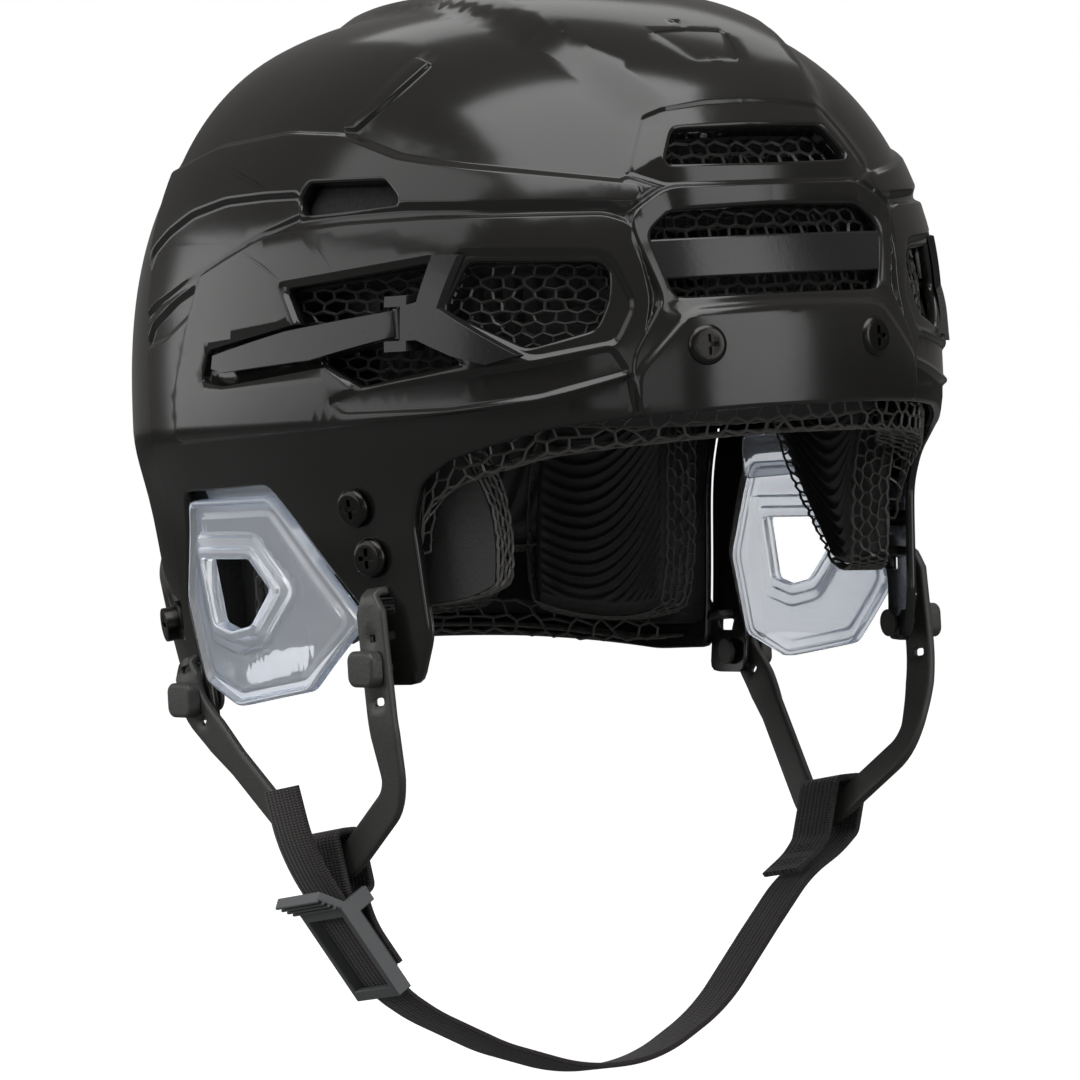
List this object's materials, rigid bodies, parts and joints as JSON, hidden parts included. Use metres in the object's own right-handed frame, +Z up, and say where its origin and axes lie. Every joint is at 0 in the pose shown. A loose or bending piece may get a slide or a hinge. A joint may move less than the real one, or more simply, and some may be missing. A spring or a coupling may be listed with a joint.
{
  "type": "ice hockey helmet",
  "caption": "Two-part hard shell helmet that slides to size, with side lock tabs, clear ear guards, lattice cushions, ear loops and a buckled chin strap.",
  "frame": {"origin": "middle of the crown cushion's underside, where the top of the head rests", "axes": "+Z up, the wearer faces -Y, the wearer's right is -X"},
  "size_m": [0.2122, 0.2758, 0.311],
  "materials": {
    "black_shell": "glossy black",
    "black_plastic": "satin black",
    "liner_foam": "dark energy liner",
    "pad_lattice": "dark grey elastomer lattice",
    "clear_guard": "clear polycarbonate",
    "strap_rubber": "dark grey moulded elastomer",
    "webbing": "black woven webbing",
    "buckle_plastic": "dark grey plastic",
    "screw_steel": "black coated steel",
    "nut_steel": "plain steel"
  },
  "bodies": {
    "front_part": {"front_shell": "black_shell", "front_plate": "black_plastic", "front_liner": "liner_foam", "front_pad": "pad_lattice", "crown_pad": "pad_lattice", "side_pad_right": "pad_lattice", "side_pad_left": "pad_lattice", "temple_pad_right": "pad_lattice", "temple_pad_left": "pad_lattice", "tab_bracket_right": "black_shell", "tab_bracket_left": "black_shell", "ear_guard_right": "clear_guard", "ear_guard_left": "clear_guard", "ear_loop_right": "strap_rubber", "ear_loop_left": "strap_rubber", "tab_pins": "nut_steel", "strap_buttons": "black_plastic", "side_screws": "screw_steel", "side_t_nuts": "nut_steel", "front_screws": "screw_steel", "front_t_nuts": "nut_steel"},
    "rear_part": {"rear_shell": "black_shell", "rear_liner": "liner_foam", "occipital_pad": "pad_lattice", "rear_screws": "screw_steel", "rear_t_nuts": "nut_steel", "rear_pad_right": "pad_lattice", "rear_pad_left": "pad_lattice", "size_rack_right": "black_plastic", "size_rack_left": "black_plastic"},
    "right_lock_tab": {"lock_tab_right": "black_shell"},
    "left_lock_tab": {"lock_tab_left": "black_shell"},
    "chin_strap": {"chin_webbing": "webbing", "buckle_webbing": "webbing", "chin_buckle": "buckle_plastic"}
  },
  "joints": [
    {"name": "rear_part_slide", "type": "slide", "parent": "front_part", "child": "rear_part", "axis": [0, 1, 0], "range_m": [0, 0.012]},
    {"name": "right_tab_hinge", "type": "hinge", "parent": "front_part", "child": "right_lock_tab", "pos_m": [-0.0879, -0.0847, -0.0666], "axis": [0, 0, 1], "range_deg": [0, 50]},
    {"name": "left_tab_hinge", "type": "hinge", "parent": "front_part", "child": "left_lock_tab", "pos_m": [0.0879, -0.0847, -0.0666], "axis": [0, 0, -1], "range_deg": [0, 50]},
    {"name": "chin_strap_swing", "type": "hinge", "parent": "front_part", "child": "chin_strap", "pos_m": [0, -0.0332, -0.1949], "axis": [1, 0, 0], "range_deg": [-30, 30]}
  ]
}
